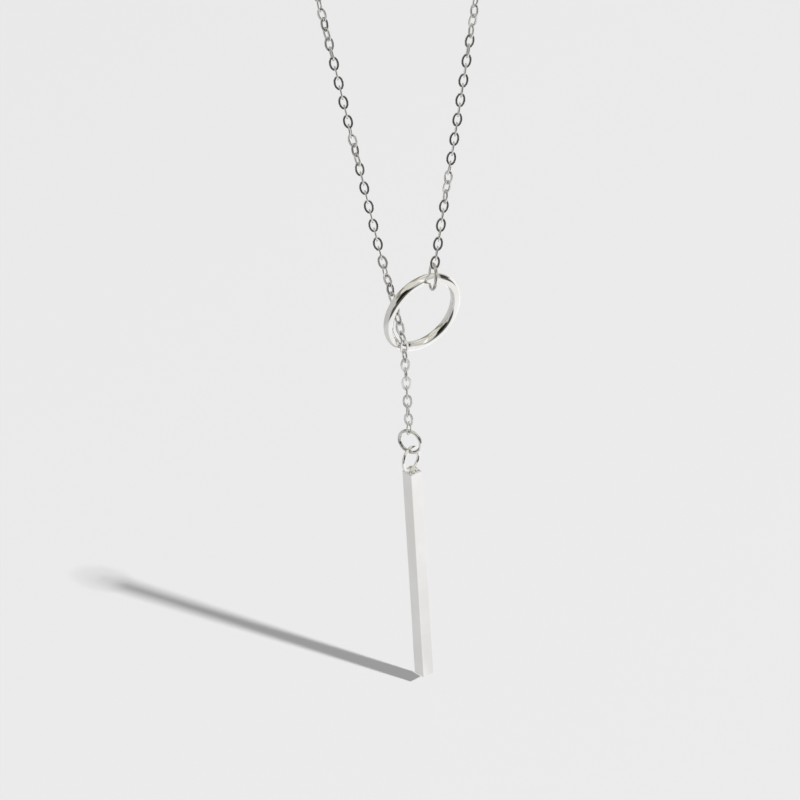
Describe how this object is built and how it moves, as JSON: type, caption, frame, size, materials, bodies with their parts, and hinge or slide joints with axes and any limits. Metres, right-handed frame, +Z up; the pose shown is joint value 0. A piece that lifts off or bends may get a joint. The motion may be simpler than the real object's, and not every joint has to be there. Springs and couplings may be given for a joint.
{
  "type": "y necklace",
  "caption": "Lariat necklace of fine oval cable chain, threaded through a big round-wire ring and ending in a slim square bar pendant.",
  "frame": {"origin": "the inside of the chain at the nape, where the closed loop rests on the back of the neck or on a hook", "axes": "+Z up along the hanging loop, +Y from front to back through the loop, +X to the right as seen from the front"},
  "size_m": [0.0629, 0.0072, 0.2556],
  "materials": {
    "chain_silver": "polished silver, bright with dark reflections",
    "ring_silver": "high polish silver",
    "bar_silver": "polished silver, flat faces with crisp arrises"
  },
  "bodies": {
    "root": {"link_01": "chain_silver", "link_02": "chain_silver", "link_03": "chain_silver", "link_04": "chain_silver", "link_05": "chain_silver", "link_06": "chain_silver", "link_07": "chain_silver", "link_08": "chain_silver", "link_09": "chain_silver", "link_10": "chain_silver", "link_11": "chain_silver", "link_12": "chain_silver", "link_13": "chain_silver", "link_14": "chain_silver", "link_15": "chain_silver", "link_16": "chain_silver", "link_17": "chain_silver", "link_18": "chain_silver", "link_19": "chain_silver", "link_20": "chain_silver", "strand_link_01": "chain_silver", "strand_link_02": "chain_silver", "strand_link_03": "chain_silver", "strand_link_04": "chain_silver", "strand_link_05": "chain_silver", "strand_link_06": "chain_silver", "neck_chain": "chain_silver", "ring": "ring_silver", "ring_bail": "ring_silver"},
    "jump_ring": {"jump_ring": "ring_silver"},
    "bar": {"bar": "bar_silver"}
  },
  "joints": [
    {"name": "jump_swing", "type": "hinge", "parent": "root", "child": "jump_ring", "pos_m": [-0.00384, -0.00132, -0.21685], "axis": [0.515, 0.8572, 0], "range_deg": [-60, 60]},
    {"name": "bar_swing", "type": "hinge", "parent": "jump_ring", "child": "bar", "pos_m": [-0.00384, -0.00132, -0.21956], "axis": [0.8572, -0.515, 0], "range_deg": [-90, 90]}
  ]
}
